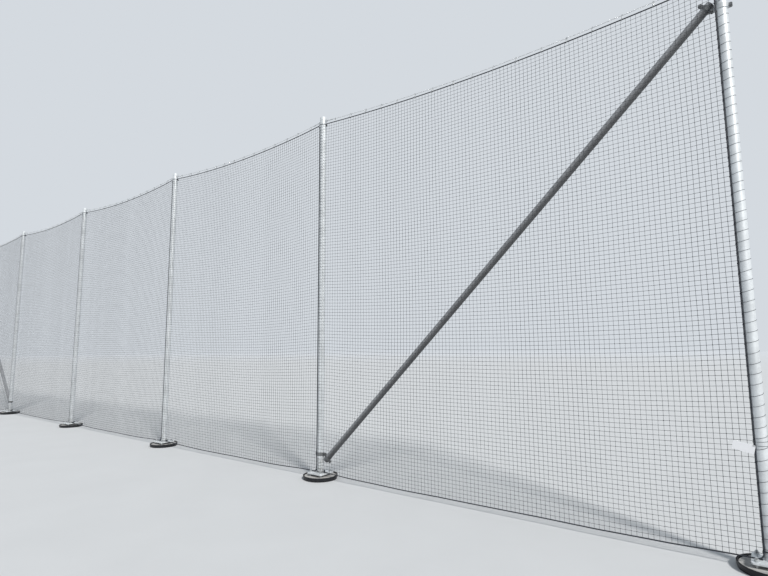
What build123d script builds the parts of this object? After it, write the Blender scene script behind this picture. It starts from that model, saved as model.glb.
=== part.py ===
"""Ball stop netting: a straight row of round steel posts with square-mesh nets hung between them.

The two end bays are longer and braced. Every post stands on a base plate that is held by four anchor
bolts above a round concrete footing. Lengths are in millimetres. X runs along the row, Y points away from
the pitch and Z is up. The origin is the middle of the left end footing's underside, at ground level.
"""

from build123d import *
from math import asin, atan2, cos, hypot, sin, sqrt
import os

# The row
inner_bay = 3850.0
inner_bays = 3
end_bay = 4750.0
row_height = 5000.0

# Footings, seen from ground level up
concrete_diameter = 430.0
concrete_height = 38.0
concrete_edge = 6.0
ring_gap = 0.3
ring_wall = 2.5
ring_groove = 7.0
ring_height = 50.0
ring_valley_height = 14.0
ring_flank = 8.0

# Base plates and anchor bolts
plate_side = 250.0
plate_thickness = 15.0
plate_corner = 18.0
drain_hole = 50.0
levelling_gap = 30.0
anchor_diameter = 20.0
anchor_pitch = 180.0
anchor_clearance = 1.0
anchor_bed_gap = 0.3
anchor_depth = 30.0
anchor_end = 12.0
anchor_chamfer = 2.0
nut_across_flats = 30.0
nut_height = 16.0
washer_diameter = 37.0
washer_thickness = 3.0

# Posts and caps
post_diameter = 88.9
post_wall = 3.2
cap_gap = 0.3
cap_wall = 2.0
cap_skirt = 38.0
cap_top_thickness = 6.0
cap_round = 4.0

# Head wire and the eye bolts that hold it
wire_diameter = 6.0
wire_drop = 62.0
wire_sag = 95.0
wire_end_gap = 0.3
eye_shank = 12.0
eye_hole_gap = 0.5
eye_ring_radius = 14.0
eye_ring_wire = 10.0
eye_collar_diameter = 26.0
eye_collar_thickness = 4.0
eye_collar_gap = 0.3
eye_neck = 6.0

# Nets and their border ropes
net_offset = 20.0
rope_diameter = 12.0
rope_drop = 50.0
rope_post_gap = 0.3
rope_corner = 45.0
rope_foot_clear = 9.0
rope_side_rise = 67.0
rope_foot_run = 45.0
net_thickness = 3.0
net_rope_gap = 0.3
net_edge = 10.0
net_bar = 8.0
net_columns = 12
net_rows = 12

# Braces
brace_diameter = 76.1
brace_wall = 3.2
brace_head_drop = 372.0
brace_foot_rise = 232.0
brace_end_reach = 48.0
brace_net_gap = 1.0

# Collars: one round the post and one round the brace, joined side to side by a bolt through their ears
collar_thickness = 5.0
collar_gap = 0.3
post_collar_height = 40.0
brace_collar_height = 34.0
pin_reach = 18.0
ear_margin = 13.0
ear_gap = 6.0
ear_side_gap = 0.3
ear_corner = 10.0
collar_bolt = 12.0
bolt_gap = 0.5
bolt_seat_gap = 0.3
bolt_reach = 8.0
bolt_across_flats = 19.0
bolt_head_height = 8.0

# Worked out from the values above
post_radius = post_diameter / 2
row_length = 2 * end_bay + inner_bays * inner_bay
post_places = [0.0] + [end_bay + n * inner_bay for n in range(inner_bays + 1)] + [row_length]
bays = list(zip(post_places[:-1], post_places[1:]))
plate_underside = concrete_height + levelling_gap
plate_top = plate_underside + plate_thickness
post_top = row_height - cap_top_thickness
wire_height = row_height - wire_drop
rope_height = wire_height - rope_drop
rope_radius = rope_diameter / 2
foot_rope_height = ring_height + rope_foot_clear + rope_radius
brace_radius = brace_diameter / 2
post_collar_outer = post_radius + collar_gap + collar_thickness
brace_collar_outer = brace_radius + collar_gap + collar_thickness
brace_place = brace_collar_outer + brace_net_gap + net_thickness / 2 - net_offset
ear_face = ear_gap / 2 + collar_thickness
brace_ear_place = 2 * ear_face + ear_side_gap
post_pin = post_collar_outer + pin_reach
brace_pin = brace_collar_outer + pin_reach
brace_head_height = row_height - brace_head_drop
brace_foot_height = plate_top + brace_foot_rise

# Each pair of collars: its post's place, its height, the side on which its brace stands and the pair's end
pairs = {
    "head_collar_left": (post_places[0], brace_head_height, 1, "head"),
    "foot_collar_left": (post_places[1], brace_foot_height, -1, "foot"),
    "foot_collar_right": (post_places[-2], brace_foot_height, 1, "foot"),
    "head_collar_right": (post_places[-1], brace_head_height, -1, "head"),
}
collared_posts = [place[0] for place in pairs.values()]

# A brace passes above its head pin and below its foot pin, at the distance of its own collars' pins
pin_run = end_bay - 2 * post_pin
pin_rise = brace_head_height - brace_foot_height
brace_angle = atan2(pin_rise, pin_run) + asin(2 * brace_pin / hypot(pin_run, pin_rise))

os.makedirs("parts", exist_ok=True)


def save(piece, name):
    """Label a finished sub-part and write its STEP file."""
    piece.part.label = name
    export_step(piece.part, f"parts/{name}.step")


def footing(x):
    """Concrete top of one footing, with the holes in which the anchor bolts are set."""
    with BuildPart() as block:
        with BuildSketch():
            with Locations((x, 0)):
                Circle(concrete_diameter / 2)
        extrude(amount=concrete_height)
        chamfer(block.edges().group_by(Axis.Z)[-1], concrete_edge)
        with Locations(Location((x, 0, concrete_height))):
            with GridLocations(anchor_pitch, anchor_pitch, 2, 2):
                Hole(anchor_diameter / 2 + anchor_bed_gap, depth=anchor_depth + anchor_bed_gap)
    return block


def form_ring(x):
    """Double-walled end of the plastic pipe that the concrete was cast in, cut through one of its ribs."""
    bore = concrete_diameter / 2 + ring_gap
    liner = bore + ring_wall
    rib_inside = liner + ring_groove
    rib_foot = ring_valley_height + ring_flank
    with BuildPart() as ring:
        with BuildSketch(Plane.XZ):
            with BuildLine():
                Polyline(
                    (bore, 0),
                    (liner + ring_wall, 0),
                    (liner + ring_wall, ring_valley_height),
                    (rib_inside + ring_wall, rib_foot),
                    (rib_inside + ring_wall, ring_height),
                    (rib_inside, ring_height),
                    (rib_inside, rib_foot + ring_wall),
                    (liner, ring_valley_height + ring_wall),
                    (liner, ring_height),
                    (bore, ring_height),
                    close=True,
                )
            make_face()
        revolve(axis=Axis.Z)
    ring.part = ring.part.moved(Location((x, 0, 0)))
    return ring


def base_plate(x):
    """Square plate under one post, drilled for the anchor bolts and for the post's drain."""
    with BuildPart() as plate:
        with BuildSketch(Plane.XY.offset(plate_underside)):
            with Locations((x, 0)):
                RectangleRounded(plate_side, plate_side, plate_corner)
                Circle(drain_hole / 2, mode=Mode.SUBTRACT)
            with Locations((x, 0)):
                with GridLocations(anchor_pitch, anchor_pitch, 2, 2):
                    Circle(anchor_diameter / 2 + anchor_clearance, mode=Mode.SUBTRACT)
        extrude(amount=plate_thickness)
    return plate


def post(x):
    """Round tube with the cross hole of its eye bolt."""
    with BuildPart() as tube:
        with BuildSketch(Plane.XY.offset(plate_top)):
            with Locations((x, 0)):
                Circle(post_radius)
                Circle(post_radius - post_wall, mode=Mode.SUBTRACT)
        extrude(amount=post_top - plate_top)
        with BuildSketch(Plane.YZ.offset(x)):
            with Locations((0, wire_height)):
                Circle(eye_shank / 2 + eye_hole_gap)
        extrude(amount=post_diameter, both=True, mode=Mode.SUBTRACT)
    return tube


for number, x in enumerate(post_places, start=1):
    save(footing(x), f"footing_{number}")
    save(form_ring(x), f"form_ring_{number}")
    save(base_plate(x), f"base_plate_{number}")
    save(post(x), f"post_{number}")

# Anchor bolts: a stud in the concrete, a levelling nut under the plate, a washer and a nut on it
with BuildPart() as anchor_bolts:
    anchor_places = [
        (x + sx * anchor_pitch / 2, sy * anchor_pitch / 2)
        for x in post_places
        for sx in (-1, 1)
        for sy in (-1, 1)
    ]
    stud_foot = concrete_height - anchor_depth
    nut_foot = plate_top + washer_thickness
    stud_top = nut_foot + nut_height + anchor_end
    with BuildSketch(Plane.XY.offset(stud_foot)):
        with Locations(*anchor_places):
            Circle(anchor_diameter / 2)
    extrude(amount=stud_top - stud_foot)
    chamfer(anchor_bolts.edges().group_by(Axis.Z)[-1], anchor_chamfer)
    for foot in (plate_underside - nut_height, nut_foot):
        with BuildSketch(Plane.XY.offset(foot)):
            with Locations(*anchor_places):
                RegularPolygon(nut_across_flats / 2, 6, major_radius=False)
        extrude(amount=nut_height)
    with BuildSketch(Plane.XY.offset(plate_top)):
        with Locations(*anchor_places):
            Circle(washer_diameter / 2)
    extrude(amount=washer_thickness)
save(anchor_bolts, "anchor_bolts")

# Post caps: a lid with a rounded rim and a skirt over the tube
with BuildPart() as post_caps:
    skirt_inner = post_radius + cap_gap
    with BuildSketch(Plane.XY.offset(post_top - cap_skirt)):
        with Locations(*[(x, 0) for x in post_places]):
            Circle(skirt_inner + cap_wall)
    extrude(amount=cap_skirt + cap_top_thickness)
    fillet(post_caps.edges().group_by(Axis.Z)[-1], cap_round)
    with BuildSketch(Plane.XY.offset(post_top - cap_skirt)):
        with Locations(*[(x, 0) for x in post_places]):
            Circle(skirt_inner)
    extrude(amount=cap_skirt, mode=Mode.SUBTRACT)
save(post_caps, "post_caps")


def eye_bolt(x, sides):
    """Bolt through a post with an eye on each side that carries a wire, and a plain collar on the others."""
    collar_face = post_radius + eye_collar_gap
    eye_centre = collar_face + eye_collar_thickness + eye_neck + eye_ring_radius
    with BuildPart() as bolt:
        with BuildSketch(Plane.YZ.offset(x - collar_face)):
            with Locations((0, wire_height)):
                Circle(eye_shank / 2)
        extrude(amount=2 * collar_face)
        for side in (-1, 1):
            collar_plane = Plane(
                origin=(x + side * collar_face, 0, wire_height), x_dir=(0, 1, 0), z_dir=(side, 0, 0)
            )
            with BuildSketch(collar_plane):
                Circle(eye_collar_diameter / 2)
            extrude(amount=eye_collar_thickness)
            if side in sides:
                with BuildSketch(collar_plane.offset(eye_collar_thickness)):
                    Circle(eye_shank / 2)
                extrude(amount=eye_neck)
                with Locations(Location((x + side * eye_centre, 0, wire_height), (90, 0, 0))):
                    Torus(eye_ring_radius, eye_ring_wire / 2)
    return bolt.part


with BuildPart() as eye_bolts:
    for x in post_places:
        carried = [side for side in (-1, 1) if 0 <= x + side * inner_bay / 2 <= row_length]
        add(eye_bolt(x, carried))
save(eye_bolts, "eye_bolts")

# Head wire: one span in each bay, from eye to eye, with its natural sag
with BuildPart() as head_wire:
    eye_reach = (
        post_radius + eye_collar_gap + eye_collar_thickness + eye_neck
        + 2 * eye_ring_radius + eye_ring_wire / 2 + wire_end_gap
    )
    for left, right in bays:
        with BuildLine() as span:
            ThreePointArc(
                (left + eye_reach, 0, wire_height),
                ((left + right) / 2, 0, wire_height - wire_sag),
                (right - eye_reach, 0, wire_height),
            )
        with BuildSketch(Plane(origin=span.line @ 0, z_dir=span.line % 0)):
            Circle(wire_diameter / 2)
        sweep(path=span.line)
save(head_wire, "head_wire")


def rope_reach(x):
    """How far from a post's axis, along the row, its side ropes lie."""
    seat = post_collar_outer if x in collared_posts else post_radius
    return sqrt((seat + rope_post_gap + rope_radius) ** 2 - net_offset**2)


def net_outline(left, right):
    """Middle line of the border rope of one bay, as a face in the plane of the nets."""
    left_side = left + rope_reach(left)
    right_side = right - rope_reach(right)
    side_foot = plate_top + rope_side_rise
    foot_run = plate_side / 2 + rope_foot_run
    with BuildSketch(Plane.XZ.offset(net_offset)) as outline:
        with BuildLine():
            Polyline(
                (left_side, rope_height),
                (left_side, side_foot),
                (left + foot_run, foot_rope_height),
                (right - foot_run, foot_rope_height),
                (right_side, side_foot),
                (right_side, rope_height),
            )
            ThreePointArc(
                (right_side, rope_height),
                ((left + right) / 2, rope_height - wire_sag),
                (left_side, rope_height),
            )
        make_face()
        fillet(outline.vertices(), rope_corner)
    return outline.sketch.face()


for number, (left, right) in enumerate(bays, start=1):
    outline = net_outline(left, right)
    path = outline.outer_wire()
    with BuildPart() as border_rope:
        with BuildSketch(Plane(origin=path @ 0, z_dir=path % 0)):
            Circle(rope_radius)
        sweep(path=path)
    save(border_rope, f"border_rope_{number}")

    panel_inset = rope_radius + net_rope_gap
    panel_back = Plane.XZ.offset(net_offset - net_thickness / 2)
    with BuildSketch(panel_back) as openings:
        add(outline)
        offset(amount=-(panel_inset + net_edge), mode=Mode.REPLACE)
        reach = openings.sketch.bounding_box()
        with Locations((reach.center().X, reach.center().Z)):
            with GridLocations(reach.size.X / net_columns, 0, net_columns - 1, 1):
                Rectangle(net_bar, reach.size.Z, mode=Mode.SUBTRACT)
            with GridLocations(0, reach.size.Z / net_rows, 1, net_rows - 1):
                Rectangle(reach.size.X, net_bar, mode=Mode.SUBTRACT)
    with BuildPart() as net_panel:
        with BuildSketch(panel_back):
            add(outline)
            offset(amount=-panel_inset, mode=Mode.REPLACE)
            add(openings.sketch, mode=Mode.SUBTRACT)
        extrude(amount=net_thickness)
    save(net_panel, f"net_panel_{number}")


def brace_axis(name):
    """Where a pair's brace collar is centred on its brace, and the brace's direction up from its foot."""
    x, z, side, end = pairs[name]
    lean = side if end == "foot" else -side
    up = Vector(lean * cos(brace_angle), 0, sin(brace_angle))
    below = Vector(lean * sin(brace_angle), 0, -cos(brace_angle))
    pin = Vector(x + side * post_pin, brace_place, z)
    centre = pin + below * brace_pin if end == "foot" else pin - below * brace_pin
    return centre, up, below


def brace(end):
    """Round tube, open at both ends, that runs on past its collars until it almost meets the posts."""
    foot, up, below = brace_axis(f"foot_collar_{end}")
    head, up, below = brace_axis(f"head_collar_{end}")
    with BuildPart() as tube:
        with BuildSketch(Plane(origin=foot - up * brace_end_reach, z_dir=up)):
            Circle(brace_radius)
            Circle(brace_radius - brace_wall, mode=Mode.SUBTRACT)
        extrude(amount=(head - foot).length + 2 * brace_end_reach)
    return tube


for end in ("left", "right"):
    save(brace(end), f"brace_{end}")


def collar(middle, radius, height, ear_place):
    """Two bent half shells round a tube, with a pair of drilled ears on each side; drawn across the tube."""
    inner = radius + collar_gap
    outer = inner + collar_thickness
    pin = outer + pin_reach
    with BuildPart() as shells:
        with BuildSketch(middle):
            Circle(outer)
            with Locations((0, ear_place)):
                Rectangle(2 * (pin + ear_margin), 2 * ear_face)
            Circle(inner, mode=Mode.SUBTRACT)
            with Locations((0, ear_place)):
                Rectangle(2 * (pin + ear_margin), ear_gap, mode=Mode.SUBTRACT)
        extrude(amount=height / 2, both=True)
        ear_ends = shells.edges().filter_by(Axis.Y).filter_by(
            lambda edge: abs(middle.to_local_coords(edge.center()).X) > pin
        )
        fillet(ear_ends, ear_corner)
        with BuildSketch(Plane(origin=middle.origin, x_dir=middle.x_dir, z_dir=(0, -1, 0))):
            with Locations((-pin, 0), (pin, 0)):
                Circle(collar_bolt / 2 + bolt_gap)
        extrude(amount=2 * outer, both=True, mode=Mode.SUBTRACT)
    return shells.part


for name, (x, z, side, end) in pairs.items():
    centre, up, below = brace_axis(name)
    with BuildPart() as collars:
        add(collar(Plane(origin=(x, 0, z)), post_radius, post_collar_height, 0))
        across = Plane(origin=centre, x_dir=(up.Z, 0, -up.X), z_dir=up)
        add(collar(across, brace_radius, brace_collar_height, brace_ear_place - brace_place))
    save(collars, name)

# Collar bolts along Y: one through the free ears of each collar and one through the four ears between them
with BuildPart() as collar_bolts:
    for name, (x, z, side, end) in pairs.items():
        centre, up, below = brace_axis(name)
        outward = below if end == "foot" else -below
        free = centre + outward * brace_pin
        ear_stacks = (
            ((x - side * post_pin, z), -ear_face, ear_face),
            ((x + side * post_pin, z), -ear_face, brace_ear_place + ear_face),
            ((free.X, free.Z), brace_ear_place - ear_face, brace_ear_place + ear_face),
        )
        for place, front, rear in ear_stacks:
            head_face = front - bolt_seat_gap
            nut_face = rear + bolt_seat_gap
            with BuildSketch(Plane.XZ.offset(-head_face)):
                with Locations(place):
                    Circle(collar_bolt / 2)
            extrude(amount=head_face - nut_face - bolt_head_height - bolt_reach)
            for plane_place in (head_face, nut_face + bolt_head_height):
                with BuildSketch(Plane.XZ.offset(-plane_place)):
                    with Locations(place):
                        RegularPolygon(bolt_across_flats / 2, 6, major_radius=False, rotation=30)
                extrude(amount=bolt_head_height)
save(collar_bolts, "collar_bolts")
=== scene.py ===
"""Ball stop netting: the looks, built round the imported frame.

The steelwork and the footings come from the frame and get their finishes here. The nets, the ropes, the
lacing, the clips and other small things are made here, in metres, in the frame's own axes: X runs along
the row, Y points away from the pitch and Z is up.
"""

import math
import random

import bmesh
import bpy
from bpy.props import FloatProperty, FloatVectorProperty, IntProperty, PointerProperty
from mathutils import Matrix, Vector, geometry, noise


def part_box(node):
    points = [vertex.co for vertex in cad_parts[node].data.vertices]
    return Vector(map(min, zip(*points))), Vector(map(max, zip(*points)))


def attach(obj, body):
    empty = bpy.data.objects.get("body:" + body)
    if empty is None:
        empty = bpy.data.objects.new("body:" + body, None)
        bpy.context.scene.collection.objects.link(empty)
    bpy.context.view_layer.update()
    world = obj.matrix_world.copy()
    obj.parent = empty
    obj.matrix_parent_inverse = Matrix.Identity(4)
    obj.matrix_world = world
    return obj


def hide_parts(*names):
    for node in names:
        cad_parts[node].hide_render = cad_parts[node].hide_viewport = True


bl_info = {
    "name": "Ball stop netting",
    "version": (1, 0, 0),
    "blender": (4, 5, 0),
    "location": "3D View > Sidebar > Netting",
    "description": "Nets, ropes, lacing, clips and finishes for a row of ball stop netting",
    "category": "Object",
}

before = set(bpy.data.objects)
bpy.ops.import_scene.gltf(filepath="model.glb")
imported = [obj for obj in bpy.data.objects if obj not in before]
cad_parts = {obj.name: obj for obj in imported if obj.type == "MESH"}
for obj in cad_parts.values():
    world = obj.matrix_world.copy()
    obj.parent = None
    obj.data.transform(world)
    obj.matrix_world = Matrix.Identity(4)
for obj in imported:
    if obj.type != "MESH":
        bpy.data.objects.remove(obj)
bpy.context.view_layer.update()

# Places read from the frame
post_count = sum(name.startswith("base_plate_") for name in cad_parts)
post_boxes = [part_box(f"post_{number}") for number in range(1, post_count + 1)]
post_places = [(low.x + high.x) / 2 for low, high in post_boxes]
post_radius = (post_boxes[0][1].y - post_boxes[0][0].y) / 2
plate_low, plate_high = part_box("base_plate_1")
plate_top = plate_high.z
plate_reach = (plate_high.x - plate_low.x) / 2
bolts_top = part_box("anchor_bolts")[1].z
eyes_low, eyes_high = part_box("eye_bolts")
wire_height = (eyes_low.z + eyes_high.z) / 2
wire_low, wire_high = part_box("head_wire")
wire_radius = (wire_high.y - wire_low.y) / 2
wire_start = wire_low.x - post_places[0]
wire_sag = wire_height - wire_low.z - wire_radius
rope_low, rope_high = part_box("border_rope_1")
rope_radius = (rope_high.y - rope_low.y) / 2
net_place = (rope_low.y + rope_high.y) / 2
foot_height = rope_low.z + rope_radius
brace_boxes = {1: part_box("brace_right"), -1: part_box("brace_left")}
brace_middles = {side: (low + high) / 2 for side, (low, high) in brace_boxes.items()}
brace_low, brace_high = brace_boxes[1]
brace_radius = (brace_high.y - brace_low.y) / 2

# Sizes of the steelwork that the frame's boxes don't give
eye_bar = 0.010
collar_height = 0.040
collar_wall = 0.0053
weld_bead = 0.005
thread_pitch = 0.0025
brace_slope = math.radians(44.15)

# How the ropes hang: the head rope under the wire, a side rope beside its post, the foot rope on a plate
rope_drop = 0.05
rope_corner = 0.045
end_reach = 0.0415
touch_gap = 0.0003
plate_rope = plate_top + rope_radius + 0.0005
foot_rise_length = 1.2

# Lengths over which ropes and twines give way to the foot's weld, to a collar and to the brace
weld_zone, weld_fade = 0.05, 0.03
collar_fade = 0.06
brace_clearance, brace_fade, brace_end_fade = 0.022, 0.09, 0.06

# How far from its edge the net starts to bend towards a post, and where a rope leaves the post's back
bend_start, bend_length = 0.012, 0.45
back_start, back_fade, back_offset = 0.055, 0.06, 0.03

# Distances from a post, or from the brace, of the points where a line bends
side_bends = (0.0, 0.012, 0.035, 0.075, 0.14, 0.23, 0.34)
front_bends = (-end_reach, -0.030, -0.020, -0.010, 0.0, 0.016, 0.045, 0.09, 0.16, 0.25, 0.37)
back_bends = (0.062, 0.075, 0.095, 0.13, 0.19, 0.28, 0.38)
brace_bends = (-0.16, -0.095, -0.04, 0.0, 0.04, 0.095, 0.16)
twine_step, rope_step = 0.134, 0.19

# Heights of the bands round the posts, as (post, low, high)
collar_bands = []
for name in ("head_collar_left", "foot_collar_left", "foot_collar_right", "head_collar_right"):
    low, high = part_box(name)
    foot = low.z if name.startswith("head") else high.z - collar_height
    place = min(post_places, key=lambda post: abs(post - (low.x + high.x) / 2))
    collar_bands.append((place, foot, foot + collar_height))

# The camera that fits the photograph, 768 pixels wide
picture_width = 768
focal_pixels = 502.56
camera_place = Vector((21.125, -5.008, 1.718))
camera_yaw = math.radians(36.850)
camera_pitch = math.radians(6.709)
camera_roll = math.radians(-0.345)

# The stage
floor_reach = 160.0
sun_direction = Vector((1.0, -0.51, 0.91))
far_floor = (0.69, 0.707, 0.734)
backdrop = (0.66, 0.70, 0.745, 1.0)
glow = (0.80, 0.90, 1.0, 1.0)

# The blank plate and its place beside the right end post
blank_size = (0.147, 0.0025, 0.069)
blank_corner, blank_edge = 0.005, 0.0005
blank_reach, blank_depth, blank_height = 0.112, -0.0385, 0.918
blank_tilt = math.radians(12.6)


def metres(name, description, default):
    return FloatProperty(name=name, description=description, default=default, unit="LENGTH")


def tint(name, description, default):
    return FloatVectorProperty(name=name, description=description, default=default, subtype="COLOR")


class NettingSizes(bpy.types.PropertyGroup):
    """Sizes of the pieces that are made here."""

    mesh_width: metres("Mesh width", "Width of one mesh as it hangs", 0.0445)
    mesh_height: metres("Mesh height", "Height of one mesh as it hangs", 0.0414)
    twine: metres("Twine", "Diameter of the net's twine", 0.003)
    knot: metres("Knot", "Radius of the net's knots", 0.0042)
    slack: metres("Slack", "How far the net strays from its plane", 0.010)
    lacing: metres("Lacing cord", "Diameter of the cord round the posts", 0.003)
    lacing_pitch: metres("Lacing pitch", "Rise of one turn of the lacing", 0.083)
    clip_spacing: metres("Clip spacing", "Distance between the clips", 0.265)
    clip_bar: metres("Clip bar", "Diameter of a clip's bent bar", 0.0075)
    seed: IntProperty(name="Seed", description="Start of the small irregularities", default=4)


class NettingColours(bpy.types.PropertyGroup):
    """Colours of the finishes, in linear light."""

    galvanised: tint("Galvanised steel", "Hot-dip zinc", (0.71, 0.735, 0.75))
    # The braces' zinc is darker than the posts': weathering, and painted shade.
    brace: tint("Brace", "Weathered zinc of the braces", (0.34, 0.345, 0.355))
    zinc: tint("Fasteners", "Bright zinc of bolts and clips", (0.62, 0.64, 0.65))
    concrete: tint("Concrete", "Dry pale concrete", (0.50, 0.49, 0.475))
    pipe: tint("Form pipe", "Black plastic pipe", (0.011, 0.012, 0.015))
    twine: tint("Twine", "Black netting twine", (0.010, 0.012, 0.017))
    rope: tint("Border rope", "Black laid rope", (0.009, 0.011, 0.016))
    plate: tint("Blank plate", "White coated plate", (0.86, 0.86, 0.88))
    floor: tint("Floor", "Pale studio floor", (0.68, 0.685, 0.69))


def sizes():
    return bpy.context.scene.netting_sizes


def colours():
    return bpy.context.scene.netting_colours


def eased(share):
    """A share from 0 to 1 with soft ends."""
    share = min(1.0, max(0.0, share))
    return share * share * (3 - 2 * share)


def bands(post):
    """Low and high ends of the collar bands round a post, from the foot up."""
    return [(low, high) for place, low, high in collar_bands if abs(place - post) < 0.01]


def rope_front(post, offset, height, radius):
    """Y of a rope or twine that lies against a post's front, clear of the collars and the foot's weld."""
    reach = post_radius + radius + touch_gap
    push = (weld_bead + 0.001) * eased((plate_top + weld_zone - height) / weld_fade)
    for low, high in bands(post):
        push = max(push, collar_wall * eased(1 - max(low - height, height - high, 0.0) / collar_fade))
    return -math.sqrt((reach + push) ** 2 - offset ** 2)


def side_rope(post, height, side=-1):
    """X, Y and radius of the side rope at a post."""
    return post + side * end_reach, rope_front(post, end_reach, height, rope_radius), rope_radius


def on_circle(x, y, radius, angle, *height):
    return Vector((x + radius * math.cos(angle), y + radius * math.sin(angle), *height))


def back_reach(height):
    """How far from a post's axis a rope lies that passes behind it, clear of the foot's weld."""
    if height > wire_height / 2:
        return -rope_front(0.0, 0.0, height, rope_radius)
    return post_radius + weld_bead + 0.0085


class Bay:
    """One bay of the net, with its head rope, its foot rope and the side rope at its right post.

    The first bay has a side rope on the left too. The others run on in front of their left post to the side
    rope of the bay before, while their head and foot ropes pass behind that post.
    """

    def __init__(self, number):
        self.number = number
        self.left_post = post_places[number - 1]
        self.right_post = post_places[number]
        self.first = number == 1
        self.lean = {1: -1, post_count - 1: 1}.get(number, 0)
        self.left = self.left_post + (end_reach if self.first else -end_reach)
        self.right = self.right_post - end_reach
        self.middle = (self.left_post + self.right_post) / 2
        self.head_corner = wire_height - rope_drop

    def wire(self, x):
        """Height of the head wire's middle line."""
        share = (x - self.middle) / ((self.right_post - self.left_post) / 2 - wire_start)
        return wire_height - wire_sag * (1 - share * share)

    def head(self, x):
        """Height of the head rope's middle line."""
        share = min(1.0, abs(x - self.middle) / (self.right_post - self.middle))
        return self.head_corner - wire_sag * (1 - share * share)

    def foot(self, x):
        """Height of the foot rope's middle line, which rises onto the base plates."""
        away = max(0.0, min(x - self.left_post, self.right_post - x) - plate_reach) / foot_rise_length
        return foot_height + (plate_rope - foot_height) * max(0.0, 1 - away) ** 2

    def bend(self, x):
        """How far the net has bent from its plane towards the nearer post, from 0 to 1."""
        away = min(x - self.left - (bend_start if self.first else end_reach), self.right - x - bend_start)
        return max(0.0, 1 - max(0.0, away) / bend_length) ** 2

    def depth(self, x, height, radius):
        """Y of a twine or rope of that radius in the net."""
        post = self.right_post if x > self.middle else self.left_post
        if self.first or x > self.middle or x < self.left + 0.001:
            edge = rope_front(post, end_reach, height, rope_radius)
        else:
            edge = rope_front(post, min(0.0, x - post), height, radius)
        return net_place + (edge - net_place) * self.bend(x)

    def rope_depth(self, x, height):
        """Y of the head rope or the foot rope, which come round the back of a middle post."""
        if self.first or x > self.middle:
            return self.depth(x, height, rope_radius)
        away = max(0.0, x - self.left_post - back_start) / back_fade
        return net_place + back_offset * max(0.0, 1 - away) ** 3

    def brace_height(self, x):
        """Height of the brace's middle line."""
        middle = brace_middles[self.lean]
        return middle.z + self.lean * (x - middle.x) * math.tan(brace_slope)

    def over_brace(self, x, height):
        """How near a place of the net is to the brace that it passes in front of, from 0 to 1."""
        if not self.lean:
            return 0.0
        away = abs(height - self.brace_height(x)) * math.cos(brace_slope)
        beyond = abs(height - brace_middles[self.lean].z) - (brace_high.z - brace_low.z) / 2
        near = eased(1 - max(0.0, away - brace_clearance) / brace_fade)
        return near * eased(1 - beyond / brace_end_fade)

    def height(self, x, share):
        return self.foot(x) + share * (self.head(x) - self.foot(x))

    def point(self, x, share):
        """A point of the net, share of the way from the foot rope up to the head rope."""
        height = self.height(x, share)
        loose = min(1.0, share / 0.06, (1 - share) / 0.06, (self.right - x) / 0.3)
        loose = min(loose, (x - (self.left if self.first else self.left_post)) / 0.3)
        reach = sizes().slack * max(0.0, loose)
        stray = noise.noise_vector(Vector((x * 0.9, 7.3, height * 0.9)))
        ripple = noise.noise_vector(Vector((x * 4.1, 3.1, height * 4.1)))
        forward = max(0.0, 0.5 + 0.5 * stray.y + 0.25 * ripple.y) * (1 - self.bend(x))
        y = self.depth(x, height, sizes().twine / 2) - reach * forward
        front = -brace_radius - sizes().twine / 2 - 0.001
        y = min(y, net_place + (front - net_place) * self.over_brace(x, height))
        rope = eased((abs(2 * share - 1) - 0.88) / 0.12)
        if not self.first and x < self.middle:
            rope *= eased((x - self.left_post - 0.05) / 0.07)
        return Vector((
            x + reach * (0.5 * stray.x + 0.15 * ripple.x),
            y + rope * (self.rope_depth(x, height) - y),
            height + reach * (0.4 * stray.z + 0.15 * ripple.z),
        ))

    def upright(self, x, step):
        """Points of an upright twine, closer together where it passes the brace."""
        shares = {1.0, *(number * step for number in range(math.ceil(1 / step)))}
        if self.lean:
            for reach in brace_bends:
                share = (self.brace_height(x) + reach - self.foot(x)) / (self.head(x) - self.foot(x))
                if 0.01 < share < 0.99:
                    shares.add(share)
        return [self.point(x, share) for share in sorted(shares)]

    def level(self, share):
        """Points of a level twine, closer together where it passes the brace."""
        places = set(self.stations(twine_step))
        if self.lean:
            x = self.middle
            for _ in range(3):
                x -= (self.brace_height(x) - self.height(x, share)) * self.lean / math.tan(brace_slope)
                x = min(self.right, max(self.left, x))
            for reach in brace_bends:
                if self.left + 0.03 < x + reach < self.right - 0.03:
                    places.add(x + reach)
        return [self.point(x, share) for x in sorted(places)]

    def stations(self, spacing, front=True):
        """Places along the bay for the points of a level line, close together where it bends at a post.

        A twine has some in front of a middle post too, and a rope starts to the right of it.
        """
        start, end = self.left_post + 0.50, self.right - 0.46
        count = round((end - start) / spacing)
        inner = [start + (end - start) * step / count for step in range(count + 1)]
        after = [self.right - bend for bend in reversed(side_bends)]
        if self.first:
            before = [self.left + bend for bend in side_bends]
        else:
            before = [self.left_post + bend for bend in (front_bends if front else back_bends)]
        return before + inner + after


bays = [Bay(number) for number in range(1, post_count)]


def mesh_from(solid, name):
    """The mesh of a bmesh, which is freed."""
    mesh = bpy.data.meshes.new(name)
    solid.to_mesh(mesh)
    solid.free()
    return mesh


def own_mesh(name, source):
    """The finished mesh of a curve or of a mesh with modifiers, with the source thrown away."""
    bpy.context.scene.collection.objects.link(source)
    graph = bpy.context.evaluated_depsgraph_get()
    mesh = bpy.data.meshes.new_from_object(source.evaluated_get(graph))
    mesh.name = name
    bpy.data.objects.remove(source)
    return mesh


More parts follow.
